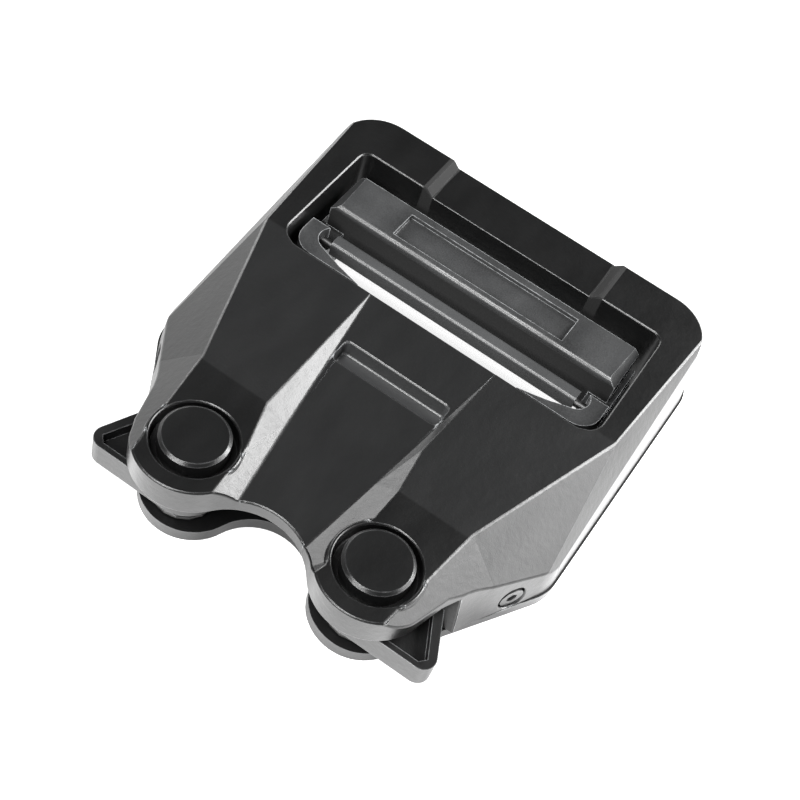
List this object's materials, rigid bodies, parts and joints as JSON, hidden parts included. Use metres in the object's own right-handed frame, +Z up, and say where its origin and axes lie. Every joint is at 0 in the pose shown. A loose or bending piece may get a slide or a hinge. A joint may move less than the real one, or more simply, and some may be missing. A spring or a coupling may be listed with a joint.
{
  "type": "quick release belt buckle",
  "caption": "Receiver half of a quick-release webbing belt buckle: two sprung release levers on headed pins, tongue mouth, and a webbing window with a sliding grip bar.",
  "frame": {"origin": "centre of the footprint, on the surface that the buckle lies on", "axes": "+X to the right, +Y from the tongue mouth to the rear bar, +Z up out of the face of the buckle"},
  "size_m": [0.0584, 0.0665, 0.0137],
  "materials": {
    "body": "matte black hard-anodised",
    "base": "matte black hard-anodised",
    "lever": "satin black anodised",
    "adjuster": "matte black anodised, lightly scuffed",
    "bar": "matte black coated steel",
    "pin": "satin black coated steel",
    "screw": "black oxide steel",
    "spring": "drawn spring wire",
    "steel": "turned stainless steel"
  },
  "bodies": {
    "body": {"housing_top": "body", "base_plate": "base", "pivot_pin_left": "pin", "pivot_pin_right": "pin", "pin_washer_left": "steel", "pin_washer_right": "steel", "hub_spacer_left": "steel", "hub_spacer_right": "steel", "lever_spring_left": "spring", "lever_spring_right": "spring", "spring_post_left": "steel", "spring_post_right": "steel", "side_screw_left": "screw", "side_screw_right": "screw", "base_screws": "screw"},
    "release_lever_left": {"lever_left": "lever"},
    "release_lever_right": {"lever_right": "lever"},
    "adjuster": {"adjuster_slide": "adjuster", "cross_bar": "bar", "cross_bar_pins": "steel"}
  },
  "joints": [
    {"name": "release_left", "type": "hinge", "parent": "body", "child": "release_lever_left", "pos_m": [-0.0122, -0.02615, 0.006], "axis": [0, 0, 1], "range_deg": [0, 12], "stiffness_Nm_per_rad": 0.03, "springref_deg": -14.32},
    {"name": "release_right", "type": "hinge", "parent": "body", "child": "release_lever_right", "pos_m": [0.0122, -0.02615, 0.006], "axis": [0, 0, -1], "range_deg": [0, 12], "stiffness_Nm_per_rad": 0.03, "springref_deg": -14.32},
    {"name": "adjuster_travel", "type": "slide", "parent": "body", "child": "adjuster", "axis": [0, 1, 0], "range_m": [-0.0014, 0.0022]}
  ]
}
